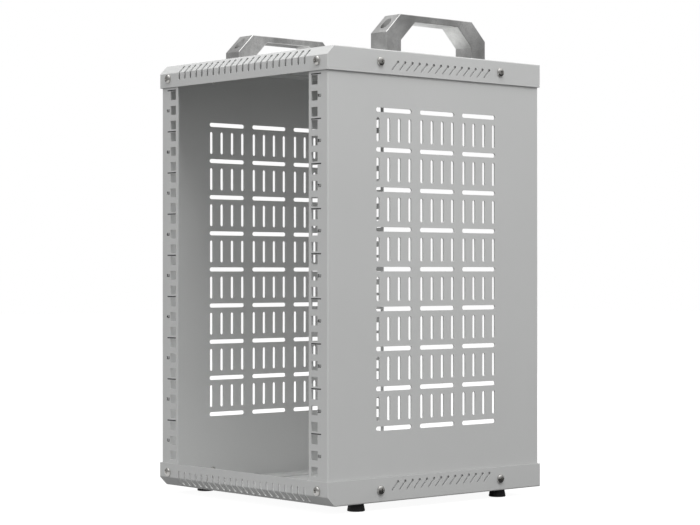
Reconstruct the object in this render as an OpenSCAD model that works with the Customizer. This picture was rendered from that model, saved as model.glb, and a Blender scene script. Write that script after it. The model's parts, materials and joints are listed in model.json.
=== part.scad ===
// Desktop open-frame rack for ten-inch equipment. Two side panels, each one folded sheet with a
// front and a rear rail, stand between two folded covers. Two bridge handles, four rubber feet.
// Millimetres. X to the right, Y to the back, Z up. The origin is on the floor, under the middle.

/* [Overall] */
// Width over the covers
rack_w = 281; // [272:1:320]
// Depth over the covers
rack_d = 301; // [260:1:450]
// Height of the equipment bay in rack units
units = 9; // [6:1:12]

/* [Rack standard] */
// Height of one rack unit
unit_h = 44.45; // [44:0.05:45]
// Distance between the left and the right column of rail holes
hole_span = 236.5; // [234:0.1:238]
// Clear width between the rails
opening_w = 219; // [216:0.5:222]
// Side of a square rail hole
hole_size = 9.5; // [8:0.1:10]
// Distance from the middle hole of a unit to the holes above and below it
hole_step = 15.875; // [15.5:0.005:16]

/* [Sheet] */
// Sheet thickness of the covers
cover_t = 1; // [0.8:0.1:2]
// Sheet thickness of the side panels
panel_t = 1.5; // [1:0.1:2.5]
// Inside radius of every fold
bend_inner = 0.4; // [0.3:0.1:1.5]
// Clearance between the panels and the flanges of the covers
fit_gap = 0.8; // [0.1:0.05:0.9]

/* [Covers] */
// Height of a cover over its flanges
cover_flange = 24.5; // [22:0.5:32]
// Space between a flange's edge and the first rack unit
end_gap = 2.5; // [1:0.5:8]
// Height and depth of the sloping front edge
slope_cut = 9.5; // [8:0.5:10.5]
// How far handles, side slots and side screws sit behind the middle of the depth
cover_shift = 4; // [0:0.5:8]
// Width of a front slot
front_slot_w = 2.9; // [1.2:0.1:3.4]
// Spacing of the front slots
front_slot_pitch = 10; // [8:0.5:16]
// Length of a front slot on the flange, below the fold that it crosses
front_slot_leg = 7.8; // [5:0.1:9]
// Distance from that fold to the round hole at the slot's end on the slope
front_eye_reach = 8.5; // [7:0.1:9]
// Diameter of that round hole
front_eye_d = 3.9; // [3.4:0.1:4.4]
// Width of a slanted side slot
side_slot_w = 1.6; // [1:0.1:3]
// Length of a slanted side slot
side_slot_l = 12.5; // [8:0.5:13]
// Diameter of the round hole at a side slot's upper end
side_eye_d = 3.1; // [1.6:0.1:4]
// Spacing of the slanted side slots
side_slot_pitch = 10; // [8:0.5:16]
// Depth of the middle of the side slots below the cover's outer face
side_slot_drop = 15.3; // [13:0.1:16]
// Plain length of flange between the last side slot's middle and a side screw
side_slot_margin = 15; // [12:1:30]

/* [Side panels] */
// Spacing of the rows of long slots
vent_row_pitch = 40; // [36:1:60]
// Spacing of the columns of long slots
vent_col_pitch = 60; // [54:1:80]
// Plain margin in front of and behind the slots
vent_margin = 50; // [40:1:80]
// How far the slots sit above the middle of the panel
vent_rise = 6.5; // [0:0.5:8]
// How far the slots sit in front of the middle of the panel
vent_lead = 0.9; // [0:0.1:3]
// Length of a long slot
long_slot_l = 48.5; // [30:0.5:50]
// Height of a long slot
long_slot_h = 4.5; // [3:0.1:6]
// Upright slots between two long slots
upright_count = 4; // [2:1:4]
// Spacing of the upright slots
upright_pitch = 14.5; // [10:0.5:16]
// Width of an upright slot
upright_w = 4; // [2:0.1:6]
// Height of an upright slot
upright_h = 24.5; // [10:0.5:26]
// Gap left open between two folds at a rear corner
corner_relief = 1.5; // [0.5:0.1:4]

/* [Handles] */
// Distance between a handle's two screws
handle_span = 120; // [100:1:160]
// Width of a handle
handle_w = 24; // [16:0.5:26]
// Height of a handle
handle_h = 39; // [36:0.5:60]
// Length of a leg, front to back
handle_leg = 20.5; // [15:0.5:22]
// Thickness of the top bar
handle_bar = 7; // [5:0.5:12]
// Height and depth of the sloping corners
handle_corner = 19.5; // [10:0.5:20]
// Bevel along the edges of a handle
handle_edge = 0.5; // [0.3:0.1:1.5]
// Distance of a handle from the side of the rack
handle_inset = 7.5; // [4:0.1:12]
// Height of the seat of a handle's screw head
handle_seat = 8; // [5:0.5:12]

/* [Feet] */
// Diameter of a foot on the floor
foot_d = 17.6; // [15:0.1:24]
// Diameter of a foot under the cover
foot_top_d = 16; // [14.5:0.1:22]
// Height of a foot
foot_h = 8.5; // [7.5:0.1:14]
// Rounding of a foot's lower edge
foot_round = 1; // [0.4:0.1:1.5]
// Distance of a foot's middle from the side of the rack
foot_inset_x = 15.5; // [12:0.5:22]
// Distance of a foot's middle from the front and the rear
foot_inset_y = 50.5; // [30:0.5:60]
// Depth of the recess under a foot
foot_recess = 4.8; // [4.4:0.1:6]

/* [Fasteners] */
// Thread diameter of the cover and foot screws
screw_d = 4; // [3:0.5:5]
// Diameter of a domed screw head
head_d = 9.4; // [7:0.1:9.8]
// Height of a domed screw head
head_h = 3.4; // [2:0.1:3.4]
// Length of a cover screw under its head
screw_l = 8; // [7:0.5:12]
// Length of a foot screw under its head
foot_screw_l = 12; // [12:0.5:16]
// Thickness of the washer in a foot
washer_t = 1; // [0.6:0.1:1]
// Distance of the front and rear screws from the side of the rack
front_screw_inset = 15.8; // [13:0.1:20]
// Distance of the front and rear screws from the fold of the sloping edge
front_screw_below = 5.5; // [5:0.1:7]
// Distance of the side screws from the front and the rear
side_screw_inset = 65.5; // [50:0.5:75]
// Depth of the side screws below the cover's outer face
side_screw_drop = 12.3; // [11:0.1:14]
// Thread diameter of a handle's screw
handle_screw_d = 6; // [5:0.5:6]
// Length of a handle's screw under its head
handle_screw_l = 18; // [18:1:24]
// Clearance round a screw in a plain hole, on the radius
hole_gap = 0.3; // [0.1:0.05:0.5]
// Clearance between a screw and its nut, on the radius
thread_gap = 0.05; // [0.02:0.01:0.1]

/* [Hidden] */
$fn = 48;

paint = "#c6c8c6";
metal = "#a8a9ab";
nickel = "#cfd0d2";
black = "#1d1d1f";

// Levels: the cover's undersides and tops
bay_h = units * unit_h;
rack_h = bay_h + 2 * (cover_flange + end_gap);
base_z = foot_h;
top_z = base_z + rack_h;
unit_z = base_z + cover_flange + end_gap;

// Outer faces of the side panels, behind the flanges of the covers
panel_x = rack_w / 2 - cover_t - fit_gap;
panel_y = rack_d / 2 - cover_t - fit_gap;
panel_low = base_z + cover_t;
panel_high = top_z - cover_t;
panel_mid = (panel_low + panel_high) / 2;
panel_r = bend_inner + panel_t;
rail_w = panel_x - opening_w / 2;
// Corner cuts of a panel: behind the sloping edges, up to the next tenth, and the relief at the rear
slope_room = slope_cut + (cover_t + fit_gap) * sqrt(2) - (2 * cover_t + fit_gap);
slope_fit = ceil(10 * slope_room) / 10;
rear_fit = panel_r + corner_relief;

// Places of the fasteners
front_screw_x = rack_w / 2 - front_screw_inset;
front_screw_drop = slope_cut + front_screw_below;
side_screw_half = rack_d / 2 - side_screw_inset;
side_screw_y = [cover_shift - side_screw_half, cover_shift + side_screw_half];
handle_x = rack_w / 2 - handle_inset - handle_w / 2;
foot_x = rack_w / 2 - foot_inset_x;
foot_y = rack_d / 2 - foot_inset_y;

// Slots of a cover, counted to each side of the middle
front_slots = floor((opening_w / 2 - front_slot_w) / front_slot_pitch + 0.5);
side_slots = floor((side_screw_half - side_slot_margin) / side_slot_pitch + 0.5);
// Slots of a panel
vent_cols = floor((rack_d - 2 * vent_margin) / vent_col_pitch);
vent_rows = round(bay_h / vent_row_pitch) - 1;

// Sizes that go with the threads
screw_hole_d = screw_d + 2 * hole_gap;
collar_d = screw_d + 1.4;
collar_hole_d = collar_d + 2 * thread_gap;
clinch_d = collar_d + 0.8;
clinch_h = 2;
nut_af = screw_d + 3;
nut_h = 0.8 * screw_d;
washer_d = head_d + 1.6;
recess_d = washer_d + 1;
head_edge = 0.9;
cross_l = 0.55 * head_d;
cross_w = 1.1;
cross_depth = 0.55 * head_h;
handle_hole_d = handle_screw_d + 2 * hole_gap;
cap_d = handle_screw_d + 4;
cap_h = handle_screw_d;
cap_hole_d = cap_d + 1;
handle_nut_af = handle_screw_d + 4;
handle_nut_h = 0.8 * handle_screw_d;

// Steps in a fold, and how far a cut runs past what it cuts
bend_steps = 6;
over = 1;

// Shapes that repeat

// Points of a fold: an arc of radius r about the point c
function fold_arc(c, r, a0, a1) = [
    for (i = [0:bend_steps])
        let (a = a0 + (a1 - a0) * i / bend_steps)
        c + r * [cos(a), sin(a)]
];

// What is left of a 45 degree corner cut when its outline is drawn inset
function inset_cut(cut, inset) = cut - inset * (2 - sqrt(2));

// A cover seen from the side, inset from its outer faces: front flange, slope, plate, rear flange
function cover_side(inset, low) =
    let (
        half = rack_d / 2 - inset,
        top = cover_flange - inset,
        cut = inset_cut(slope_cut, inset),
        r = bend_inner + cover_t - inset,
        t = r * tan(22.5)
    )
    concat(
        [[-half, low]],
        fold_arc([-half + r, top - cut - t], r, 180, 135),
        fold_arc([-half + cut + t, top - r], r, 135, 90),
        fold_arc([half - r, top - r], r, 90, 0),
        [[half, low]]
    );

// The same cover seen from the front
function cover_front(inset, low) =
    let (half = rack_w / 2 - inset, top = cover_flange - inset, r = bend_inner + cover_t - inset)
    concat(
        [[-half, low]],
        fold_arc([-half + r, top - r], r, 180, 90),
        fold_arc([half - r, top - r], r, 90, 0),
        [[half, low]]
    );

// The same cover seen from above
function cover_plan(inset) =
    let (x = rack_w / 2 - inset, y = rack_d / 2 - inset, r = bend_inner + cover_t - inset)
    concat(
        fold_arc([x - r, y - r], r, 0, 90),
        fold_arc([-x + r, y - r], r, 90, 180),
        fold_arc([-x + r, -y + r], r, 180, 270),
        fold_arc([x - r, -y + r], r, 270, 360)
    );

// An arch with sloping corners, inset from its own outline, open at the level low
function arch(half, h, cut, inset, low) =
    let (x = half - inset, z = h - inset, c = inset_cut(cut, inset))
    [[-x, low], [-x, z - c], [-x + c, z], [x - c, z], [x, z - c], [x, low]];

// A drawing in the Y and Z plane, extruded along X, and one in X and Z, extruded along Y
module along_x(l) {
    rotate([90, 0, 90]) linear_extrude(l, center = true) children();
}

module along_y(l) {
    rotate([90, 0, 0]) linear_extrude(l, center = true) children();
}

module stadium(l, w) {
    square([l - w, w], center = true);
    for (s = [-1, 1]) translate([s * (l - w) / 2, 0]) circle(d = w);
}

module both_sides() {
    children();
    mirror([1, 0, 0]) children();
}

// Places, used by the pieces, their holes and their fasteners alike

module at_handle_screws() {
    for (s = [-1, 1]) translate([handle_x, cover_shift + s * handle_span / 2, top_z]) children();
}

module at_foot(side, end) {
    translate([side * foot_x, end * foot_y, 0]) children();
}

// Both ends of the right panel: outwards is the child's own +Z, gap the distance behind the cover
module at_front_screws(z, gap) {
    translate([front_screw_x, -rack_d / 2 + gap, z]) rotate([90, 0, 0]) children();
}

module at_rear_screws(z, gap) {
    translate([front_screw_x, rack_d / 2 - gap, z]) rotate([-90, 0, 0]) children();
}

module at_side_screws(z, gap) {
    for (y = side_screw_y) translate([rack_w / 2 - gap, y, z]) rotate([0, 90, 0]) children();
}

// Fasteners, with the head's seat at zero and the shank running down

module pan_screw(l) {
    difference() {
        union() {
            rotate_extrude() polygon(concat(
                [[0, 0], [head_d / 2, 0]],
                [for (a = [0:15:90]) [head_d / 2 * cos(a), head_edge + (head_h - head_edge) * sin(a)]]
            ));
            translate([0, 0, -l]) cylinder(d = screw_d, h = l + over / 2);
        }
        for (turn = [0, 90]) rotate(turn)
            translate([0, 0, head_h]) cube([cross_l, cross_w, 2 * cross_depth], center = true);
    }
}

module cap_screw() {
    difference() {
        union() {
            cylinder(d = cap_d, h = cap_h);
            translate([0, 0, -handle_screw_l]) cylinder(d = handle_screw_d, h = handle_screw_l + over);
        }
        translate([0, 0, cap_h / 2]) cylinder(d = handle_screw_d, h = cap_h, $fn = 6);
    }
}

module hex_nut(af, h, thread) {
    difference() {
        cylinder(d = af / cos(30), h = h, $fn = 6);
        translate([0, 0, -over]) cylinder(d = thread + 2 * thread_gap, h = h + 2 * over);
    }
}

// Pressed into a panel from inside: the collar fills the sheet, whose outer face is at zero
module clinch_nut() {
    difference() {
        union() {
            translate([0, 0, -panel_t]) cylinder(d = collar_d, h = panel_t);
            translate([0, 0, -panel_t - clinch_h]) cylinder(d = clinch_d, h = clinch_h);
        }
        translate([0, 0, -panel_t - clinch_h - over])
            cylinder(d = screw_d + 2 * thread_gap, h = panel_t + clinch_h + 2 * over);
    }
}

// Covers, with the flange's free edge at zero and the plate on top

module cover_form(inset, low) {
    intersection() {
        along_x(rack_w) polygon(cover_side(inset, low));
        along_y(rack_d) polygon(cover_front(inset, low));
        linear_extrude(3 * cover_flange, center = true) polygon(cover_plan(inset));
    }
}

// A slot that runs from the front flange across the fold and up the slope to a round hole
module front_slot() {
    fold = [-rack_d / 2, cover_flange - slope_cut];
    down = fold - [0, front_slot_leg - front_slot_w / 2];
    up = fold + front_eye_reach * [1, 1] / sqrt(2);
    corner = [-1, tan(22.5)];
    deep = cover_t + over;
    along_x(front_slot_w) polygon([
        down - [over, 0],
        fold + over * corner,
        up + over * [-1, 1] / sqrt(2),
        up - deep * [-1, 1] / sqrt(2),
        fold - deep * corner,
        down + [deep, 0]
    ]);
    translate([0, down[0], down[1]]) rotate([90, 0, 0])
        cylinder(d = front_slot_w, h = 2 * deep, center = true);
    translate([0, up[0], up[1]]) rotate([45, 0, 0])
        cylinder(d = front_eye_d, h = 2 * deep, center = true);
}

// A slanted slot with a round hole at the end that points to the rear
module side_slot() {
    stadium(side_slot_l, side_slot_w);
    translate([(side_slot_l - side_slot_w) / 2, 0]) circle(d = side_eye_d);
}

// lean is 1 where the plate is on top and -1 on a cover that is turned over
module folded_cover(lean) {
    difference() {
        cover_form(0, 0);
        cover_form(cover_t, -over);
        for (i = [0:front_slots - 1]) both_sides()
            translate([(i + 0.5) * front_slot_pitch, 0, 0]) front_slot();
        for (i = [-side_slots:side_slots - 1])
            translate([0, cover_shift + (i + 0.5) * side_slot_pitch, cover_flange - side_slot_drop])
                both_sides() translate([rack_w / 2, 0, 0]) along_x(4 * cover_t)
                    rotate(45 * lean) side_slot();
        both_sides() translate([front_screw_x, 0, cover_flange - front_screw_drop])
            rotate([90, 0, 0]) cylinder(d = screw_hole_d, h = rack_d + over, center = true);
        for (y = side_screw_y) translate([0, y, cover_flange - side_screw_drop])
            rotate([0, 90, 0]) cylinder(d = screw_hole_d, h = rack_w + over, center = true);
    }
}

module top_cover() {
    color(paint) difference() {
        translate([0, 0, top_z - cover_flange]) folded_cover(1);
        both_sides() at_handle_screws() cylinder(d = handle_hole_d, h = 4 * cover_t, center = true);
    }
}

module bottom_cover() {
    color(paint) difference() {
        translate([0, 0, base_z + cover_flange]) mirror([0, 0, 1]) folded_cover(-1);
        for (side = [-1, 1], end = [-1, 1]) at_foot(side, end)
            translate([0, 0, base_z]) cylinder(d = screw_hole_d, h = 4 * cover_t, center = true);
    }
}

// Side panels

// The slots of a panel, about the middle of the pattern
module vent_slots() {
    for (col = [0:vent_cols - 1]) translate([(col - (vent_cols - 1) / 2) * vent_col_pitch, 0]) {
        for (row = [0:vent_rows - 1])
            translate([0, (row - (vent_rows - 1) / 2) * vent_row_pitch]) stadium(long_slot_l, long_slot_h);
        for (row = [0:vent_rows - 2], i = [0:upright_count - 1])
            translate([
                (i - (upright_count - 1) / 2) * upright_pitch,
                (row + 1 - vent_rows / 2) * vent_row_pitch
            ]) rotate(90) stadium(upright_h, upright_w);
    }
}

// The flat wall, with its front corners cut behind the slopes and its rear corners relieved
module panel_wall() {
    front = -panel_y + panel_r;
    rear = panel_y - panel_r;
    low = panel_low + panel_r;
    high = panel_high - panel_r;
    translate([panel_x - panel_t / 2, 0, 0]) along_x(panel_t) difference() {
        polygon([
            [front, panel_low + slope_fit], [front, panel_high - slope_fit],
            [slope_fit - panel_y, high], [panel_y - rear_fit, high],
            [rear, panel_high - rear_fit], [rear, panel_low + rear_fit],
            [panel_y - rear_fit, low], [slope_fit - panel_y, low]
        ]);
        translate([-vent_lead, panel_mid + vent_rise]) vent_slots();
        for (y = side_screw_y, z = [base_z + side_screw_drop, top_z - side_screw_drop])
            translate([y, z]) circle(d = collar_hole_d);
    }
}

// A fold and its flange: the wall's outer face is on the Y axis, the flange's on the X axis
module fold_section() {
    translate([panel_r, 0]) square([rail_w - panel_r, panel_t]);
    intersection() {
        square(panel_r);
        translate([panel_r, panel_r]) difference() {
            circle(r = panel_r);
            circle(r = bend_inner);
        }
    }
}

// Front and rear rail, each with its column of square holes
module panel_rails() {
    front_l = panel_high - panel_low - 2 * slope_fit;
    rear_l = panel_high - panel_low - 2 * rear_fit;
    difference() {
        translate([panel_x, 0, 0]) mirror([1, 0, 0]) {
            translate([0, -panel_y, panel_low + slope_fit]) linear_extrude(front_l) fold_section();
            translate([0, panel_y, panel_low + rear_fit]) mirror([0, 1, 0])
                linear_extrude(rear_l) fold_section();
        }
        for (unit = [0:units - 1], step = [-1, 0, 1])
            translate([hole_span / 2, 0, unit_z + (unit + 0.5) * unit_h + step * hole_step])
                cube([hole_size, 2 * panel_y + over, hole_size], center = true);
        for (z = [base_z + front_screw_drop, top_z - front_screw_drop])
            translate([front_screw_x, 0, z]) rotate([90, 0, 0])
                cylinder(d = collar_hole_d, h = 2 * panel_y + over, center = true);
    }
}

// Bottom and top flange, under the foot nuts and over the handle nuts
module panel_flanges() {
    length = 2 * panel_y - slope_fit - rear_fit;
    difference() {
        translate([panel_x, (slope_fit - rear_fit) / 2, 0]) {
            translate([0, 0, panel_low]) along_y(length) mirror([1, 0]) fold_section();
            translate([0, 0, panel_high]) along_y(length) rotate(180) fold_section();
        }
        at_handle_screws() translate([0, 0, -cover_t])
            cylinder(d = handle_hole_d, h = 4 * panel_t, center = true);
        for (end = [-1, 1]) at_foot(1, end) translate([0, 0, panel_low])
            cylinder(d = screw_hole_d, h = 4 * panel_t, center = true);
    }
}

module side_panel() {
    panel_wall();
    panel_rails();
    panel_flanges();
}

module right_side_panel() {
    color(paint) side_panel();
}

module left_side_panel() {
    color(paint) mirror([1, 0, 0]) side_panel();
}

// Handles

handle_half = (handle_span + handle_leg) / 2;
grip_half = (handle_span - handle_leg) / 2;
grip_h = handle_h - handle_bar;

// A solid arch with bevelled side edges
module handle_block() {
    hull() {
        along_x(handle_w - 2 * handle_edge) polygon(arch(handle_half, handle_h, handle_corner, 0, 0));
        along_x(handle_w) polygon(arch(handle_half, handle_h, handle_corner, handle_edge, 0));
    }
}

// The opening for the fingers, which flares to the same bevel at both sides
module grip_opening() {
    flare = handle_edge + over;
    along_x(handle_w) polygon(arch(grip_half, grip_h, handle_corner, 0, -over));
    both_sides() translate([handle_w / 2 - handle_edge, 0, 0]) hull() {
        along_x(0.01) polygon(arch(grip_half, grip_h, handle_corner, 0, -over));
        translate([flare, 0, 0])
            along_x(0.01) polygon(arch(grip_half, grip_h, handle_corner, -flare, -over));
    }
}

module handle() {
    difference() {
        translate([handle_x, cover_shift, top_z]) difference() {
            handle_block();
            grip_opening();
        }
        at_handle_screws() {
            translate([0, 0, -over]) cylinder(d = handle_hole_d, h = handle_h);
            translate([0, 0, handle_seat]) cylinder(d = cap_hole_d, h = handle_h);
        }
    }
}

module right_handle() {
    color(metal) handle();
}

module left_handle() {
    color(metal) mirror([1, 0, 0]) handle();
}

// Feet, turned with a recess for the screw and its washer

module foot() {
    color(black) rotate_extrude() polygon(concat(
        [[recess_d / 2, 0]],
        fold_arc([foot_d / 2 - foot_round, foot_round], foot_round, -90, 0),
        [
            [foot_top_d / 2, foot_h], [screw_hole_d / 2, foot_h],
            [screw_hole_d / 2, foot_recess], [recess_d / 2, foot_recess]
        ]
    ));
}

module front_left_foot() {
    at_foot(-1, -1) foot();
}

module front_right_foot() {
    at_foot(1, -1) foot();
}

module rear_left_foot() {
    at_foot(-1, 1) foot();
}

module rear_right_foot() {
    at_foot(1, 1) foot();
}

// Screws of the covers

module front_top_screws() {
    color(nickel) both_sides() at_front_screws(top_z - front_screw_drop, 0) pan_screw(screw_l);
}

module front_bottom_screws() {
    color(nickel) both_sides() at_front_screws(base_z + front_screw_drop, 0) pan_screw(screw_l);
}

module rear_top_screws() {
    color(nickel) both_sides() at_rear_screws(top_z - front_screw_drop, 0) pan_screw(screw_l);
}

module rear_bottom_screws() {
    color(nickel) both_sides() at_rear_screws(base_z + front_screw_drop, 0) pan_screw(screw_l);
}

module right_top_screws() {
    color(nickel) at_side_screws(top_z - side_screw_drop, 0) pan_screw(screw_l);
}

module right_bottom_screws() {
    color(nickel) at_side_screws(base_z + side_screw_drop, 0) pan_screw(screw_l);
}

module left_top_screws() {
    color(nickel) mirror([1, 0, 0]) at_side_screws(top_z - side_screw_drop, 0) pan_screw(screw_l);
}

module left_bottom_screws() {
    color(nickel) mirror([1, 0, 0]) at_side_screws(base_z + side_screw_drop, 0) pan_screw(screw_l);
}

// Nuts pressed into the panels

module panel_nuts() {
    gap = cover_t + fit_gap;
    for (z = [base_z + front_screw_drop, top_z - front_screw_drop]) {
        at_front_screws(z, gap) clinch_nut();
        at_rear_screws(z, gap) clinch_nut();
    }
    for (z = [base_z + side_screw_drop, top_z - side_screw_drop]) at_side_screws(z, gap) clinch_nut();
}

module right_panel_nuts() {
    color(nickel) panel_nuts();
}

module left_panel_nuts() {
    color(nickel) mirror([1, 0, 0]) panel_nuts();
}

// Screws and nuts of the handles

module handle_screws() {
    at_handle_screws() translate([0, 0, handle_seat]) cap_screw();
}

module handle_nuts() {
    at_handle_screws() translate([0, 0, -cover_t - panel_t - handle_nut_h])
        hex_nut(handle_nut_af, handle_nut_h, handle_screw_d);
}

module right_handle_screws() {
    color(nickel) handle_screws();
}

module left_handle_screws() {
    color(nickel) mirror([1, 0, 0]) handle_screws();
}

module right_handle_nuts() {
    color(nickel) handle_nuts();
}

module left_handle_nuts() {
    color(nickel) mirror([1, 0, 0]) handle_nuts();
}

// Screws, washers and nuts of the feet

module foot_screws() {
    color(nickel) for (side = [-1, 1], end = [-1, 1]) at_foot(side, end)
        translate([0, 0, foot_recess - washer_t]) mirror([0, 0, 1]) pan_screw(foot_screw_l);
}

module foot_washers() {
    color(nickel) for (side = [-1, 1], end = [-1, 1]) at_foot(side, end)
        translate([0, 0, foot_recess - washer_t]) difference() {
            cylinder(d = washer_d, h = washer_t);
            translate([0, 0, -over]) cylinder(d = screw_hole_d, h = washer_t + 2 * over);
        }
}

module foot_nuts() {
    color(nickel) for (side = [-1, 1], end = [-1, 1]) at_foot(side, end)
        translate([0, 0, panel_low + panel_t]) hex_nut(nut_af, nut_h, screw_d);
}

top_cover();
bottom_cover();
left_side_panel();
right_side_panel();
left_handle();
right_handle();
front_left_foot();
front_right_foot();
rear_left_foot();
rear_right_foot();
front_top_screws();
front_bottom_screws();
rear_top_screws();
rear_bottom_screws();
left_top_screws();
left_bottom_screws();
right_top_screws();
right_bottom_screws();
left_panel_nuts();
right_panel_nuts();
left_handle_screws();
right_handle_screws();
left_handle_nuts();
right_handle_nuts();
foot_screws();
foot_washers();
foot_nuts();
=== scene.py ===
"""Fine pieces, finishes, printed unit marks, camera and light for the open-frame rack. Metres."""
import json
from math import cos, pi, radians, sin, tan

import bpy
from mathutils import Matrix, Vector


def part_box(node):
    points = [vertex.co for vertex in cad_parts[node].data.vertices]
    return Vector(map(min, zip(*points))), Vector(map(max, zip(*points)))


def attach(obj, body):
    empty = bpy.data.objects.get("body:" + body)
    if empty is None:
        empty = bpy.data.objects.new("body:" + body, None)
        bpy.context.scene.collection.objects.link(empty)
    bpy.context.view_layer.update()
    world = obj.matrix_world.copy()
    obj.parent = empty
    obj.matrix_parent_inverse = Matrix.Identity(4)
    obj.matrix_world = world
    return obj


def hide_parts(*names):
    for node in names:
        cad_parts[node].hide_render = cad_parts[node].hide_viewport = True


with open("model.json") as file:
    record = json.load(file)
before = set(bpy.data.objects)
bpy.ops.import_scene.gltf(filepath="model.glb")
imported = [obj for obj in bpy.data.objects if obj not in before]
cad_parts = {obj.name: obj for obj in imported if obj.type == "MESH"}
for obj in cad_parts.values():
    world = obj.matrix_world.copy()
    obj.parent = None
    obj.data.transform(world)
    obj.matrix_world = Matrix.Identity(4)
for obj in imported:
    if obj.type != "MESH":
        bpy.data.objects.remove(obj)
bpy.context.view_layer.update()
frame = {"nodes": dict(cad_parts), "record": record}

# Rack standard
UNIT_H = 0.04445
UNITS = 9

# Printed marks on the front rails
MARK_INNER_X = 0.1133
MARK_OUTER_X = 0.1284
MARK_H = 0.0012
INK_T = 0.00004
NUMBER_X = {-1: 0.1272, 1: 0.1258}
NUMBER_DROP = 0.0003
NUMBER_H = 0.003
NUMBER_WEIGHT = 0.0002
CAPITAL_SHARE = 0.7

# Edges that the coat or the tool rounds over
SHEET_EDGE = 0.00018
HANDLE_EDGE = 0.00015

# Limits for merging, for flat faces and for sharp edges, in metres and degrees
MERGE_GAP = 0.000004
FLAT_ANGLE = 0.5
SHARP_ANGLE = 32
SHEET_SMOOTH = 20
TURNED_SMOOTH = 28
NUT_SMOOTH = 20
FOOT_SMOOTH = 30

# Where in the noise the smudges on the handles are taken from
SMUDGE_SHIFT = (0.61, 1.92, 1.06)

# Domed cover and foot screws, with a cross recess
HEAD_R = 0.0047
HEAD_H = 0.0034
HEAD_EDGE = 0.0009
HEAD_CHAMFER = 0.00015
DOME_STEP = 9
SCREW_R = 0.002
SCREW_PITCH = 0.0007
SCREW_THREAD = 0.0003
SCREW_LEAD = 0.0005
SCREW_NECK = 0.0006
SCREW_TIP = 0.0006
COVER_SCREW_L = 0.008
FOOT_SCREW_L = 0.012
CROSS_L = 0.0052
CROSS_W = 0.0014
CROSS_DEPTH = 0.002
PIT_R = 0.0015

# Socket screws of the handles
CAP_R = 0.005
CAP_H = 0.006
CAP_SCREW_R = 0.003
CAP_SCREW_PITCH = 0.001
CAP_SCREW_L = 0.018
CAP_THREAD = 0.0004
CAP_LEAD = 0.0006
CAP_NECK = 0.0012
CAP_TIP = 0.0008
CAP_CHAMFER = 0.0002
CAP_ROUND = 0.0006
CAP_KNURL_TOP = CAP_H - 0.0005
CAP_KNURL_SHARE = 0.965
SOCKET_R = 0.003
SOCKET_DEPTH = 0.003

# Nuts and washers
THREAD_GAP = 0.00005
KNURL_LINES = 48
KNURL_REACH = 0.00002
PANEL_T = 0.0015
COLLAR_R = 0.0027
CLINCH_R = 0.0031
CLINCH_H = 0.002
CLINCH_KNURL_SHARE = 0.955
FOOT_NUT_AF = 0.007
HANDLE_NUT_AF = 0.010
WASHER_R = 0.0055
WASHER_HOLE_R = 0.0023

# Feet
FOOT_R = 0.009
FOOT_TOP_R = 0.0076
FOOT_ROUND = 0.001
FOOT_RECESS_R = 0.006
FOOT_RECESS = 0.0048
FOOT_HOLE_R = 0.0023
FOOT_PARTING_SHARE = 0.55

# Camera, as fitted to the slots, rail marks and cover edges
CAMERA_AT = (1.6310, -1.4194, 0.2389)
CAMERA_PITCH = 90.279
CAMERA_YAW = 48.951
SENSOR_W = 0.036
FOCAL_SHARE = 2000 / 700

# Glowing drape and floor mat that polished metal mirrors; their glow is painted light and painted shade,
# which the metal shows as painted reflections
DRAPE_R = 3.4
DRAPE_H = 4.5
# Painted shade level of the drape, its fade to painted white with height, and the painted shade that
# reaches higher on the left
DRAPE_LEVEL = 0.3
DRAPE_FADE = (1.2, 3.8)
DRAPE_LEFT_LOSS = 0.55
MAT_Z = 0.0005
# Painted light in front, painted shade behind, a painted falloff with distance and painted light far out
# on the right
MAT_LEVEL = 0.7
MAT_DARK = 0.05
MAT_ACROSS = (1, 1.3, 0)
MAT_FADE = (-0.08, 0.04)
MAT_DIM_RANGE = (0.9, 1.8)
MAT_DIM = 0.25
MAT_RIGHT_RANGE = (0.9, 1.5)
MAT_RIGHT = 0.3

# Frame levels that the marks and fasteners follow
rail_face_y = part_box("right_side_panel")[0].y
cover_low, cover_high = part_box("bottom_cover")[0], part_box("top_cover")[1]
bay_low = (cover_low.z + cover_high.z) / 2 - UNITS * UNIT_H / 2
panel_gap = cover_high.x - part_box("right_side_panel")[1].x

# Ways that a fastener's own +Z can face
FACING_FRONT = Matrix.Rotation(radians(90), 4, "X")
FACING_REAR = Matrix.Rotation(radians(-90), 4, "X")
FACING_RIGHT = Matrix.Rotation(radians(90), 4, "Y")
FACING_LEFT = Matrix.Rotation(radians(-90), 4, "Y")
FACING_DOWN = Matrix.Rotation(radians(180), 4, "X")
FACING_UP = Matrix.Identity(4)


# Small helpers for modelling

def clear_selection():
    bpy.ops.object.select_all(action="DESELECT")


def take_up(piece):
    """Makes a piece the only one that is selected."""
    clear_selection()
    piece.select_set(True)
    bpy.context.view_layer.objects.active = piece


def place_in_mesh():
    bpy.ops.object.transform_apply(location=True, rotation=True, scale=True)


def apply_modifier(piece, kind, **values):
    take_up(piece)
    modifier = piece.modifiers.new(kind.lower(), kind)
    for key, value in values.items():
        setattr(modifier, key, value)
    bpy.ops.object.modifier_apply(modifier=modifier.name)


def carve(piece, cutter, operation="DIFFERENCE"):
    """Cuts a piece with a cutter, which is used up."""
    apply_modifier(piece, "BOOLEAN", operation=operation, object=cutter, solver="EXACT")
    bpy.data.objects.remove(cutter)


def smooth(piece, degrees):
    take_up(piece)
    bpy.ops.object.shade_smooth_by_angle(angle=radians(degrees))


def join_pieces(parts, name):
    """One piece made of several, with its place in its mesh."""
    clear_selection()
    for part in parts:
        part.select_set(True)
    bpy.context.view_layer.objects.active = parts[0]
    bpy.ops.object.join()
    piece = bpy.context.object
    piece.name = name
    piece.data.name = name
    return piece


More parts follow.
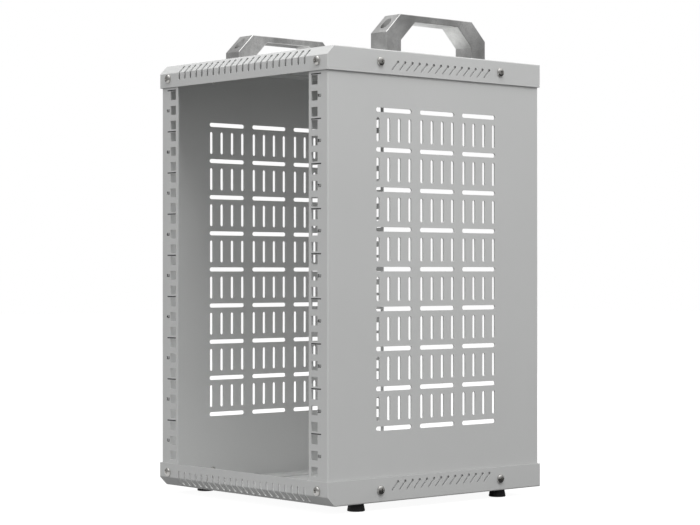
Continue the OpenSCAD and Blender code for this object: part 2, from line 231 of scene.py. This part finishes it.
def copies_at(model, places, name):
    """A set of copies of one model, each turned a little further on its own axis."""
    parts = []
    for index, (place, facing) in enumerate(places):
        take_up(model)
        bpy.ops.object.duplicate(linked=False)
        part = bpy.context.object
        own_turn = Matrix.Rotation(radians(17 + 37 * index), 4, "Z")
        part.matrix_world = Matrix.Translation(place) @ facing @ own_turn
        place_in_mesh()
        parts.append(part)
    return join_pieces(parts, name)


def settle(piece, finish, stands_for=None):
    """Gives a piece its finish and lets it ride on the rack."""
    piece.data.materials.clear()
    piece.data.materials.append(finish)
    if stands_for:
        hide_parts(stands_for)
    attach(piece, "root")
    return piece


def turned(name, outline, steps=KNURL_LINES):
    """A piece turned about Z from the radius and height of each point of its outline."""
    clear_selection()
    bpy.ops.mesh.primitive_plane_add(size=0.001)
    piece = bpy.context.object
    piece.name = name
    bpy.ops.object.mode_set(mode="EDIT")
    bpy.ops.mesh.select_mode(type="VERT")
    bpy.ops.mesh.select_all(action="SELECT")
    bpy.ops.mesh.merge(type="CENTER")
    bpy.ops.transform.translate(value=(outline[0][0], 0, outline[0][1]))
    for start, end in zip(outline, outline[1:]):
        move = (end[0] - start[0], 0, end[1] - start[1])
        bpy.ops.mesh.extrude_vertices_move(TRANSFORM_OT_translate={"value": move})
    bpy.ops.mesh.select_all(action="SELECT")
    bpy.ops.mesh.spin(steps=steps, angle=2 * pi, center=(0, 0, 0), axis=(0, 0, 1))
    bpy.ops.mesh.select_all(action="SELECT")
    bpy.ops.mesh.remove_doubles(threshold=MERGE_GAP)
    bpy.ops.mesh.normals_make_consistent(inside=False)
    bpy.ops.object.mode_set(mode="OBJECT")
    return piece


def knurl(piece, low, high, radius, share):
    """Presses every other line of a turned band inwards."""
    take_up(piece)
    bpy.ops.object.mode_set(mode="EDIT")
    bpy.ops.mesh.select_mode(type="VERT")
    bpy.ops.mesh.select_all(action="DESELECT")
    bpy.ops.object.mode_set(mode="OBJECT")
    for vertex in piece.data.vertices:
        line = round(Vector(vertex.co.xy).angle_signed(Vector((1, 0)), 0) / (2 * pi / KNURL_LINES))
        on_band = low <= vertex.co.z <= high and abs(vertex.co.xy.length - radius) < KNURL_REACH
        vertex.select = on_band and line % 2 == 0
    bpy.ops.object.mode_set(mode="EDIT")
    bpy.ops.transform.resize(value=(share, share, 1), center_override=(0, 0, 0))
    bpy.ops.object.mode_set(mode="OBJECT")


def arc(centre, radius, start, end, steps):
    """Points of an arc in an outline, from one angle to another."""
    points = []
    for step in range(steps + 1):
        angle = radians(start + (end - start) * step / steps)
        points.append((centre[0] + radius * cos(angle), centre[1] + radius * sin(angle)))
    return points


def ridges(root, crest, low, high, pitch):
    """The zigzag of a thread in an outline, from low to high."""
    turns = int((high - low) / pitch)
    points = []
    for turn in range(turns):
        points.append((root, low + turn * pitch))
        points.append((crest, low + (turn + 0.5) * pitch))
    points.append((root, low + turns * pitch))
    return points


# Fasteners, each with its seat at zero and its head above

def cross_blade(turn):
    """One tapered blade of the tool that leaves a cross in a screw head."""
    clear_selection()
    bpy.ops.mesh.primitive_cube_add(size=1, location=(0, 0, HEAD_H), rotation=(0, 0, radians(turn)))
    blade = bpy.context.object
    blade.scale = (CROSS_L, CROSS_W, 2 * CROSS_DEPTH)
    place_in_mesh()
    bpy.ops.object.mode_set(mode="EDIT")
    bpy.ops.mesh.select_all(action="DESELECT")
    bpy.ops.object.mode_set(mode="OBJECT")
    for face in blade.data.polygons:
        face.select = face.normal.z < -0.5
    bpy.ops.object.mode_set(mode="EDIT")
    bpy.ops.mesh.select_mode(type="FACE")
    bpy.ops.transform.resize(value=(0.5, 0.5, 1), center_override=(0, 0, 0))
    bpy.ops.object.mode_set(mode="OBJECT")
    return blade


def cross_pit():
    """The tapered middle of the same tool."""
    clear_selection()
    bpy.ops.mesh.primitive_cone_add(
        vertices=24, radius1=0.3 * PIT_R, radius2=1.7 * PIT_R, depth=2 * CROSS_DEPTH,
        location=(0, 0, HEAD_H))
    pit = bpy.context.object
    place_in_mesh()
    return pit


def domed_screw(name, length):
    core = SCREW_R - SCREW_THREAD
    shank = ridges(core, SCREW_R, SCREW_LEAD - length, -SCREW_NECK, SCREW_PITCH)
    dome = [
        (HEAD_R * cos(radians(a)), HEAD_EDGE + (HEAD_H - HEAD_EDGE) * sin(radians(a)))
        for a in range(0, 90, DOME_STEP)
    ]
    outline = [(0, -length), (SCREW_R - SCREW_TIP, -length)] + shank
    outline += [(core, 0), (HEAD_R - HEAD_CHAMFER, 0), (HEAD_R, HEAD_CHAMFER)] + dome + [(0, HEAD_H)]
    screw = turned(name, outline)
    for turn in (0, 90):
        carve(screw, cross_blade(turn))
    carve(screw, cross_pit())
    smooth(screw, TURNED_SMOOTH)
    return screw


def socket_screw(name):
    core = CAP_SCREW_R - CAP_THREAD
    shank = ridges(core, CAP_SCREW_R, CAP_LEAD - CAP_SCREW_L, -CAP_NECK, CAP_SCREW_PITCH)
    outline = [(0, -CAP_SCREW_L), (CAP_SCREW_R - CAP_TIP, -CAP_SCREW_L)] + shank
    outline += [(core, 0), (CAP_R - CAP_CHAMFER, 0), (CAP_R, CAP_CHAMFER), (CAP_R, CAP_H - CAP_ROUND)]
    outline += arc((CAP_R - CAP_ROUND, CAP_H - CAP_ROUND), CAP_ROUND, 15, 90, 5) + [(0, CAP_H)]
    screw = turned(name, outline)
    knurl(screw, 0, CAP_KNURL_TOP, CAP_R, CAP_KNURL_SHARE)
    clear_selection()
    bpy.ops.mesh.primitive_cylinder_add(
        vertices=6, radius=SOCKET_R, depth=2 * SOCKET_DEPTH, location=(0, 0, CAP_H))
    cutter = bpy.context.object
    place_in_mesh()
    carve(screw, cutter)
    smooth(screw, TURNED_SMOOTH)
    return screw


def clinch_nut(name):
    """A pressed-in nut behind a cover screw: its collar fills the panel, its knurled body is inside."""
    face = -panel_gap
    seat = face - PANEL_T
    end = seat - CLINCH_H
    bore = SCREW_R + THREAD_GAP
    mouth = bore + 0.0002
    chamfer = 0.0003
    lip = 0.0001
    thread = ridges(bore, bore + SCREW_THREAD, end + chamfer, face - chamfer, SCREW_PITCH)
    outline = [
        (mouth, end), (CLINCH_R - chamfer, end), (CLINCH_R, end + chamfer),
        (CLINCH_R, seat - lip), (CLINCH_R - lip, seat), (COLLAR_R, seat), (COLLAR_R, face),
        (mouth, face)
    ]
    outline += thread[::-1] + outline[:1]
    nut = turned(name, outline)
    knurl(nut, end, seat, CLINCH_R, CLINCH_KNURL_SHARE)
    smooth(nut, TURNED_SMOOTH)
    return nut


def hex_nut(name, across, height, thread_r, pitch):
    """A chamfered six-sided nut with a threaded bore, standing on its seat."""
    corner = across / 2 / cos(radians(30))
    flat = 0.95 * across / 2
    drop = (corner - flat) * tan(radians(30))
    bore = thread_r + THREAD_GAP
    root = bore + SCREW_THREAD
    lead = 0.0004
    clear_of_corner = corner + 0.0002
    step = 0.0001
    thread = ridges(bore, root, lead, height - lead, pitch)
    outline = [
        (root, 0), (flat, 0), (corner, drop), (clear_of_corner, drop + step),
        (clear_of_corner, height - drop - step), (corner, height - drop), (flat, height),
        (root, height)
    ]
    outline += thread[::-1] + outline[:1]
    turned_form = turned(name + "_form", outline)
    clear_selection()
    bpy.ops.mesh.primitive_cylinder_add(
        vertices=6, radius=corner, depth=2 * height, location=(0, 0, height / 2))
    nut = bpy.context.object
    nut.name = name
    place_in_mesh()
    carve(nut, turned_form, "INTERSECT")
    smooth(nut, NUT_SMOOTH)
    return nut


def flat_washer(name, thickness):
    edge = 0.00015
    outline = [
        (WASHER_HOLE_R, 0), (WASHER_R - edge, 0), (WASHER_R, edge), (WASHER_R, thickness - edge),
        (WASHER_R - edge, thickness), (WASHER_HOLE_R, thickness), (WASHER_HOLE_R, 0)
    ]
    washer = turned(name, outline)
    smooth(washer, TURNED_SMOOTH)
    return washer


def rubber_foot(name, height):
    """A moulded foot: rounded edges, a parting line round its side and a recess below."""
    def side_r(level):
        return FOOT_R + (FOOT_TOP_R - FOOT_R) * (level - FOOT_ROUND) / (height - FOOT_ROUND)

    part_z = FOOT_PARTING_SHARE * height
    fine = 0.0001
    base = 0.0002
    rim = 0.0004
    top_round = 0.0005
    outline = [(FOOT_RECESS_R + rim, 0)]
    outline += arc((FOOT_R - FOOT_ROUND, FOOT_ROUND), FOOT_ROUND, -90, 0, 8)
    outline += [
        (side_r(part_z - base), part_z - base), (side_r(part_z) + fine, part_z - fine),
        (side_r(part_z) + fine, part_z + fine), (side_r(part_z + base), part_z + base)
    ]
    outline += arc((FOOT_TOP_R - top_round, height - top_round), top_round, 0, 90, 4)
    outline += [
        (FOOT_HOLE_R, height), (FOOT_HOLE_R, FOOT_RECESS), (FOOT_RECESS_R - rim, FOOT_RECESS),
        (FOOT_RECESS_R - fine, FOOT_RECESS - fine), (FOOT_RECESS_R, FOOT_RECESS - rim),
        (FOOT_RECESS_R, rim), (FOOT_RECESS_R + fine, fine), (FOOT_RECESS_R + rim, 0)
    ]
    foot = turned(name, outline, steps=64)
    smooth(foot, FOOT_SMOOTH)
    return foot


def softened(node, name, width):
    """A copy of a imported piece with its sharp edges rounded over."""
    mesh = frame["nodes"][node].data.copy()
    piece = bpy.data.objects.new(name, mesh)
    mesh.name = name
    bpy.context.scene.collection.objects.link(piece)
    take_up(piece)
    bpy.ops.object.mode_set(mode="EDIT")
    bpy.ops.mesh.select_all(action="SELECT")
    bpy.ops.mesh.remove_doubles(threshold=MERGE_GAP)
    bpy.ops.mesh.dissolve_limited(angle_limit=radians(FLAT_ANGLE))
    bpy.ops.object.mode_set(mode="OBJECT")
    apply_modifier(
        piece, "BEVEL", width=width, segments=2, limit_method="ANGLE",
        angle_limit=radians(SHARP_ANGLE), use_clamp_overlap=True)
    smooth(piece, SHEET_SMOOTH)
    apply_modifier(piece, "WEIGHTED_NORMAL", keep_sharp=True)
    return piece


# Small helpers for finishes

def new_finish(name):
    finish = bpy.data.materials.new(name)
    finish.use_nodes = True
    tree = finish.node_tree
    place = tree.nodes.new("ShaderNodeTexCoord").outputs["Object"]
    return finish, tree, tree.nodes["Principled BSDF"], place


def grain(tree, place, scale, detail=2.0, shift=(0, 0, 0)):
    """Noise with about so many features to a metre."""
    mapping = tree.nodes.new("ShaderNodeMapping")
    mapping.inputs["Location"].default_value = shift
    tree.links.new(place, mapping.inputs["Vector"])
    noise = tree.nodes.new("ShaderNodeTexNoise")
    noise.inputs["Scale"].default_value = scale
    noise.inputs["Detail"].default_value = detail
    tree.links.new(mapping.outputs["Vector"], noise.inputs["Vector"])
    return noise.outputs["Fac"]


def ramp(tree, value, reach, low, high):
    """Goes from low to high while a value goes from one end of its reach to the other."""
    fit = tree.nodes.new("ShaderNodeMapRange")
    fit.inputs["From Min"].default_value = reach[0]
    fit.inputs["From Max"].default_value = reach[1]
    fit.inputs["To Min"].default_value = low
    fit.inputs["To Max"].default_value = high
    tree.links.new(value, fit.inputs["Value"])
    return fit.outputs["Result"]


def spread(tree, value, low, high):
    """Stretches the middle of a noise over the values from low to high."""
    return ramp(tree, value, (0.3, 0.7), low, high)


def worked_out(tree, operation, *values):
    """The result of a sum on sockets and plain numbers."""
    node = tree.nodes.new("ShaderNodeMath")
    node.operation = operation
    for socket, value in zip(node.inputs, values):
        if isinstance(value, (int, float)):
            socket.default_value = value
        else:
            tree.links.new(value, socket)
    return node.outputs["Value"]


def product(tree, first, second):
    return worked_out(tree, "MULTIPLY", first, second)


def shade_colour(tree, colour, brightness):
    """A colour made lighter and darker over the surface."""
    shade = tree.nodes.new("ShaderNodeVectorMath")
    shade.operation = "SCALE"
    shade.inputs[0].default_value = colour
    tree.links.new(brightness, shade.inputs["Scale"])
    return shade.outputs["Vector"]


def relief(tree, shader, height, depth, strength):
    bump = tree.nodes.new("ShaderNodeBump")
    bump.inputs["Strength"].default_value = strength
    bump.inputs["Distance"].default_value = depth
    tree.links.new(height, bump.inputs["Height"])
    tree.links.new(bump.outputs["Normal"], shader.inputs["Normal"])


# Finishes

def powder_coat():
    finish, tree, shader, place = new_finish("light_grey_powder_coat")
    fleck = spread(tree, grain(tree, place, 2400), 0.975, 1.02)
    cloud = spread(tree, grain(tree, place, 9, detail=3), 0.985, 1.015)
    tone = shade_colour(tree, (0.615, 0.62, 0.615), product(tree, fleck, cloud))
    tree.links.new(tone, shader.inputs["Base Color"])
    peel = grain(tree, place, 850, detail=3)
    tree.links.new(spread(tree, peel, 0.46, 0.56), shader.inputs["Roughness"])
    relief(tree, shader, peel, 0.00006, 0.25)
    return finish


def raw_aluminium():
    finish, tree, shader, place = new_finish("milled_raw_aluminium")
    shader.inputs["Metallic"].default_value = 1.0
    smudge = spread(tree, grain(tree, place, 20, detail=1, shift=SMUDGE_SHIFT), 0.6, 1.06)
    smear = spread(tree, grain(tree, place, 110, detail=5), 0.84, 1.06)
    fleck = spread(tree, grain(tree, place, 700, detail=3), 0.93, 1.05)
    stain = product(tree, smudge, product(tree, smear, fleck))
    tone = shade_colour(tree, (0.93, 0.93, 0.92), stain)
    tree.links.new(tone, shader.inputs["Base Color"])
    blast = grain(tree, place, 1600, detail=4)
    tree.links.new(spread(tree, blast, 0.26, 0.38), shader.inputs["Roughness"])
    relief(tree, shader, blast, 0.00005, 0.3)
    return finish


def bright_nickel():
    finish, tree, shader, place = new_finish("bright_nickel")
    shader.inputs["Metallic"].default_value = 1.0
    stain = spread(tree, grain(tree, place, 400, detail=3), 0.9, 1.05)
    tone = shade_colour(tree, (0.66, 0.65, 0.63), stain)
    tree.links.new(tone, shader.inputs["Base Color"])
    scuff = grain(tree, place, 1800, detail=4)
    tree.links.new(spread(tree, scuff, 0.1, 0.2), shader.inputs["Roughness"])
    relief(tree, shader, scuff, 0.00001, 0.2)
    return finish


def black_rubber():
    finish, tree, shader, place = new_finish("black_rubber")
    dust = spread(tree, grain(tree, place, 700, detail=4), 0.8, 1.3)
    tone = shade_colour(tree, (0.016, 0.016, 0.017), dust)
    tree.links.new(tone, shader.inputs["Base Color"])
    skin = grain(tree, place, 2200, detail=2)
    tree.links.new(spread(tree, skin, 0.42, 0.56), shader.inputs["Roughness"])
    relief(tree, shader, skin, 0.00003, 0.3)
    return finish


def printed_ink():
    finish, tree, shader, place = new_finish("dark_printing_ink")
    cover = spread(tree, grain(tree, place, 3000, detail=3), 0.75, 1.3)
    tone = shade_colour(tree, (0.022, 0.022, 0.024), cover)
    tree.links.new(tone, shader.inputs["Base Color"])
    shader.inputs["Roughness"].default_value = 0.6
    return finish


FINISHES = {
    "light_grey_coat": powder_coat(),
    "bare_aluminium": raw_aluminium(),
    "nickel_steel": bright_nickel(),
    "black_rubber": black_rubber(),
}
INK = printed_ink()


def dress_nodes():
    """Every piece of the frame takes the finish of its own slot."""
    for part in frame["record"]["subparts"]:
        node = frame["nodes"][part["node"]]
        node.data.materials.clear()
        node.data.materials.append(FINISHES[part["material_slot"]])


def settle_for(piece, node, slot):
    """Settles a fine piece that stands for a packed one."""
    return settle(piece, FINISHES[slot], node)


# Sheets and handles

def round_over_sheets():
    for node in ("top_cover", "bottom_cover", "left_side_panel", "right_side_panel"):
        settle_for(softened(node, f"{node}_sheet", SHEET_EDGE), node, "light_grey_coat")


def round_over_handles():
    for node in ("left_handle", "right_handle"):
        settle_for(softened(node, f"{node}_arch", HANDLE_EDGE), node, "bare_aluminium")


# Fasteners and feet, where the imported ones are

def end_screw_places(node, facing, side_y):
    """A left and a right screw in a front or a rear flange."""
    low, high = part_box(node)
    x = high.x - HEAD_R
    y = low.y + HEAD_H if side_y < 0 else high.y - HEAD_H
    z = (low.z + high.z) / 2
    return [((-x, y, z), facing), ((x, y, z), facing)]


def side_screw_places(node, facing, side_x):
    """A front and a rear screw in a side flange."""
    low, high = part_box(node)
    x = low.x + HEAD_H if side_x < 0 else high.x - HEAD_H
    z = (low.z + high.z) / 2
    return [((x, low.y + HEAD_R, z), facing), ((x, high.y - HEAD_R, z), facing)]


def cover_screw_places():
    places = {}
    for level in ("top", "bottom"):
        places[f"front_{level}_screws"] = end_screw_places(f"front_{level}_screws", FACING_FRONT, -1)
        places[f"rear_{level}_screws"] = end_screw_places(f"rear_{level}_screws", FACING_REAR, 1)
        places[f"left_{level}_screws"] = side_screw_places(f"left_{level}_screws", FACING_LEFT, -1)
        places[f"right_{level}_screws"] = side_screw_places(f"right_{level}_screws", FACING_RIGHT, 1)
    return places


def fit_cover_screws():
    places = cover_screw_places()
    screw = domed_screw("cover_screw", COVER_SCREW_L)
    for node, where in places.items():
        settle_for(copies_at(screw, where, f"{node}_fine"), node, "nickel_steel")
    bpy.data.objects.remove(screw)
    nut = clinch_nut("pressed_nut")
    every_place = [spot for where in places.values() for spot in where]
    for word, side in (("left", -1), ("right", 1)):
        own = [spot for spot in every_place if spot[0][0] * side > 0]
        node = f"{word}_panel_nuts"
        settle_for(copies_at(nut, own, f"{node}_fine"), node, "nickel_steel")
    bpy.data.objects.remove(nut)


def fit_handle_screws():
    screw = socket_screw("handle_screw")
    nut_low, nut_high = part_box("right_handle_nuts")
    nut = hex_nut("handle_nut", HANDLE_NUT_AF, nut_high.z - nut_low.z, CAP_SCREW_R, CAP_SCREW_PITCH)
    for word in ("left", "right"):
        low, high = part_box(f"{word}_handle_screws")
        x = (low.x + high.x) / 2
        ends = (low.y + CAP_R, high.y - CAP_R)
        seats = [((x, y, high.z - CAP_H), FACING_UP) for y in ends]
        node = f"{word}_handle_screws"
        settle_for(copies_at(screw, seats, f"{node}_fine"), node, "nickel_steel")
        undersides = [((x, y, nut_low.z), FACING_UP) for y in ends]
        node = f"{word}_handle_nuts"
        settle_for(copies_at(nut, undersides, f"{node}_fine"), node, "nickel_steel")
    bpy.data.objects.remove(screw)
    bpy.data.objects.remove(nut)


def fit_feet():
    low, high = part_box("foot_screws")
    x, y = high.x - HEAD_R, high.y - HEAD_R
    corners = [(side * x, end * y) for side in (-1, 1) for end in (-1, 1)]

    screw = domed_screw("foot_screw", FOOT_SCREW_L)
    seats = [((cx, cy, low.z + HEAD_H), FACING_DOWN) for cx, cy in corners]
    settle_for(copies_at(screw, seats, "foot_screws_fine"), "foot_screws", "nickel_steel")
    bpy.data.objects.remove(screw)

    low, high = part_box("foot_washers")
    washer = flat_washer("foot_washer", high.z - low.z)
    seats = [((cx, cy, low.z), FACING_UP) for cx, cy in corners]
    settle_for(copies_at(washer, seats, "foot_washers_fine"), "foot_washers", "nickel_steel")
    bpy.data.objects.remove(washer)

    low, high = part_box("foot_nuts")
    nut = hex_nut("foot_nut", FOOT_NUT_AF, high.z - low.z, SCREW_R, SCREW_PITCH)
    seats = [((cx, cy, low.z), FACING_UP) for cx, cy in corners]
    settle_for(copies_at(nut, seats, "foot_nuts_fine"), "foot_nuts", "nickel_steel")
    bpy.data.objects.remove(nut)

    foot = rubber_foot("foot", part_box("front_left_foot")[1].z)
    for node in ("front_left_foot", "front_right_foot", "rear_left_foot", "rear_right_foot"):
        low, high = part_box(node)
        middle = ((low.x + high.x) / 2, (low.y + high.y) / 2, 0)
        settle_for(copies_at(foot, [(middle, FACING_UP)], f"{node}_moulding"), node, "black_rubber")
    bpy.data.objects.remove(foot)


# Printed marks on the front rails

def unit_line(side, level):
    """A bar of ink at the top edge of a unit."""
    clear_selection()
    middle_x = side * (MARK_INNER_X + MARK_OUTER_X) / 2
    bpy.ops.mesh.primitive_plane_add(
        size=1, location=(middle_x, rail_face_y, level), rotation=(radians(90), 0, 0))
    bar = bpy.context.object
    bar.scale = (MARK_OUTER_X - MARK_INNER_X, MARK_H, 1)
    place_in_mesh()
    bpy.ops.object.mode_set(mode="EDIT")
    bpy.ops.mesh.select_all(action="SELECT")
    bpy.ops.mesh.extrude_region_move(TRANSFORM_OT_translate={"value": (0, -INK_T, 0)})
    bpy.ops.mesh.select_all(action="SELECT")
    bpy.ops.mesh.normals_make_consistent(inside=False)
    bpy.ops.object.mode_set(mode="OBJECT")
    return bar


def unit_number(side, unit):
    """The number of a unit, beside its middle hole."""
    clear_selection()
    bpy.ops.object.text_add()
    figure = bpy.context.object
    figure.data.body = f"{unit + 1}U"
    figure.data.align_x = "CENTER"
    figure.data.align_y = "CENTER"
    figure.data.size = NUMBER_H / CAPITAL_SHARE
    figure.data.offset = NUMBER_WEIGHT
    figure.data.extrude = INK_T / 2
    figure.data.resolution_u = 4
    bpy.ops.object.convert(target="MESH")
    figure = bpy.context.object
    figure.rotation_euler = (radians(90), 0, 0)
    level = bay_low + (unit + 0.5) * UNIT_H - NUMBER_DROP
    figure.location = (side * NUMBER_X[side], rail_face_y - INK_T / 2, level)
    place_in_mesh()
    return figure


def print_rail(side, word):
    lines = [unit_line(side, bay_low + (unit + 1) * UNIT_H - MARK_H / 2) for unit in range(UNITS)]
    settle(join_pieces(lines, f"{word}_unit_lines"), INK)
    numbers = [unit_number(side, unit) for unit in range(UNITS)]
    settle(join_pieces(numbers, f"{word}_unit_numbers"), INK)


# Stage: camera, floor, backdrop and light

def set_camera():
    data = bpy.data.cameras.new("camera")
    data.sensor_width = SENSOR_W * 1000
    data.lens = SENSOR_W * 1000 * FOCAL_SHARE
    camera = bpy.data.objects.new("camera", data)
    camera.location = CAMERA_AT
    camera.rotation_euler = (radians(CAMERA_PITCH), 0, radians(CAMERA_YAW))
    bpy.context.scene.collection.objects.link(camera)
    bpy.context.scene.camera = camera


def seen_directly(tree):
    """One for rays that the camera, a mirror or a glass sends, and zero for bounced light."""
    path = tree.nodes.new("ShaderNodeLightPath")
    total = path.outputs["Is Camera Ray"]
    for kind in ("Is Glossy Ray", "Is Transmission Ray"):
        total = worked_out(tree, "MAXIMUM", total, path.outputs[kind])
    return total


def set_world(level):
    world = bpy.data.worlds.new("pale_studio")
    bpy.context.scene.world = world
    world.use_nodes = True
    tree = world.node_tree
    light = tree.nodes["Background"]
    light.inputs["Color"].default_value = (1, 1, 1, 1)
    light.inputs["Strength"].default_value = level
    backdrop = tree.nodes.new("ShaderNodeBackground")
    backdrop.inputs["Color"].default_value = (1, 1, 1, 1)
    backdrop.inputs["Strength"].default_value = 1
    mix = tree.nodes.new("ShaderNodeMixShader")
    tree.links.new(seen_directly(tree), mix.inputs["Fac"])
    tree.links.new(light.outputs["Background"], mix.inputs[1])
    tree.links.new(backdrop.outputs["Background"], mix.inputs[2])
    tree.links.new(mix.outputs["Shader"], tree.nodes["World Output"].inputs["Surface"])


def set_floor(bounce, glow_level):
    """A pale floor: white to the eye with a soft shadow, and duller to bounced light."""
    clear_selection()
    bpy.ops.mesh.primitive_plane_add(size=16)
    floor = bpy.context.object
    floor.name = "floor"
    finish = bpy.data.materials.new("pale_floor")
    finish.use_nodes = True
    tree = finish.node_tree
    tree.nodes.remove(tree.nodes["Principled BSDF"])
    matt = tree.nodes.new("ShaderNodeBsdfDiffuse")
    matt.inputs["Color"].default_value = (bounce, bounce, bounce, 1)
    glow = tree.nodes.new("ShaderNodeEmission")
    glow.inputs["Strength"].default_value = glow_level
    seen = tree.nodes.new("ShaderNodeAddShader")
    tree.links.new(matt.outputs["BSDF"], seen.inputs[0])
    tree.links.new(glow.outputs["Emission"], seen.inputs[1])
    mix = tree.nodes.new("ShaderNodeMixShader")
    tree.links.new(seen_directly(tree), mix.inputs["Fac"])
    tree.links.new(matt.outputs["BSDF"], mix.inputs[1])
    tree.links.new(seen.outputs["Shader"], mix.inputs[2])
    tree.links.new(mix.outputs["Shader"], tree.nodes["Material Output"].inputs["Surface"])
    floor.data.materials.append(finish)


def keep_to_mirrors(piece):
    """Hides a stage piece from all but mirrored rays."""
    piece.visible_camera = False
    piece.visible_diffuse = False
    piece.visible_transmission = False
    piece.visible_volume_scatter = False
    piece.visible_shadow = False


def glowing(name):
    """A finish that glows, with its tree, its place on the piece and the socket of its strength."""
    finish = bpy.data.materials.new(name)
    finish.use_nodes = True
    tree = finish.node_tree
    tree.nodes.remove(tree.nodes["Principled BSDF"])
    place = tree.nodes.new("ShaderNodeTexCoord").outputs["Object"]
    glow = tree.nodes.new("ShaderNodeEmission")
    tree.links.new(glow.outputs["Emission"], tree.nodes["Material Output"].inputs["Surface"])
    return finish, tree, place, glow.inputs["Strength"]


def axes_of(tree, place):
    split = tree.nodes.new("ShaderNodeSeparateXYZ")
    tree.links.new(place, split.inputs["Vector"])
    return split.outputs


def set_drape():
    """A glowing drape all round the set, which only polished metal mirrors: painted dull below and
    painted white above, a painted reflection of shade below and light above.

    On the left the painted shade reaches higher up.
    """
    clear_selection()
    bpy.ops.mesh.primitive_cylinder_add(
        vertices=64, radius=DRAPE_R, depth=DRAPE_H, end_fill_type="NOTHING", location=(0, 0, DRAPE_H / 2))
    drape = bpy.context.object
    drape.name = "painted_reflection_drape"
    place_in_mesh()
    finish, tree, place, strength = glowing("painted_reflection_drape")
    axes = axes_of(tree, place)
    # Painted reflection: the glow goes from painted shade low down to painted white high up, and the
    # painted shade reaches higher on the left
    left = worked_out(tree, "MINIMUM", axes["X"], 0)
    height_here = worked_out(tree, "MULTIPLY_ADD", left, DRAPE_LEFT_LOSS, axes["Z"])
    tree.links.new(ramp(tree, height_here, DRAPE_FADE, DRAPE_LEVEL, 1), strength)
    drape.data.materials.append(finish)
    keep_to_mirrors(drape)


def set_mat():
    """A glowing mat on the floor, which only polished metal mirrors: painted light in front and painted
    shade behind, for painted reflections in the metal.

    Its painted light gets dimmer with its distance, and a little lighter far out on the right.
    """
    clear_selection()
    bpy.ops.mesh.primitive_circle_add(
        vertices=64, radius=DRAPE_R, fill_type="NGON", location=(0, 0, MAT_Z))
    mat = bpy.context.object
    mat.name = "painted_reflection_mat"
    place_in_mesh()
    finish, tree, place, strength = glowing("painted_reflection_mat")
    across = tree.nodes.new("ShaderNodeVectorMath")
    across.operation = "DOT_PRODUCT"
    across.inputs[1].default_value = MAT_ACROSS
    tree.links.new(place, across.inputs[0])
    distance = tree.nodes.new("ShaderNodeVectorMath")
    distance.operation = "LENGTH"
    tree.links.new(place, distance.inputs[0])
    # Painted reflection: painted light in front, painted shade behind, a painted falloff with distance
    # and a little painted light far out on the right
    fade = ramp(tree, across.outputs["Value"], MAT_FADE, MAT_LEVEL, MAT_DARK)
    dim = ramp(tree, distance.outputs["Value"], MAT_DIM_RANGE, 1, MAT_DIM)
    right = ramp(tree, axes_of(tree, place)["X"], MAT_RIGHT_RANGE, 0, MAT_RIGHT)
    tree.links.new(worked_out(tree, "MULTIPLY_ADD", fade, dim, right), strength)
    mat.data.materials.append(finish)
    keep_to_mirrors(mat)


def soft_light(name, place, aim, size, power, mirrored=False):
    data = bpy.data.lights.new(name, "AREA")
    data.shape = "DISK"
    data.size = size
    data.energy = power
    lamp = bpy.data.objects.new(name, data)
    lamp.location = place
    lamp.rotation_euler = (Vector(aim) - Vector(place)).to_track_quat("-Z", "Y").to_euler()
    lamp.visible_glossy = mirrored
    bpy.context.scene.collection.objects.link(lamp)


def set_studio():
    middle = (0, 0, 0.25)
    set_world(level=0.48)
    set_floor(bounce=0.175, glow_level=0.945)
    set_drape()
    set_mat()
    soft_light("key_light", (1.0, -0.6, 2.6), middle, size=1.4, power=18)
    soft_light("right_light", (1.7, -0.2, 2.0), middle, size=1.4, power=21.5)
    soft_light("front_light", (0.1, -2.8, 2.6), middle, size=1.8, power=13)
    soft_light("low_front_light", (0.1, -4.0, 1.6), middle, size=1.8, power=22)
    soft_light("top_light", (0, -0.3, 3.2), middle, size=2.0, power=15, mirrored=True)
    soft_light("back_light", (0, 2.5, 1.0), middle, size=1.4, power=48)


dress_nodes()
round_over_sheets()
round_over_handles()
fit_cover_screws()
fit_handle_screws()
fit_feet()
print_rail(-1, "left")
print_rail(1, "right")
set_camera()
set_studio()
bpy.context.scene.view_settings.view_transform = "Standard"
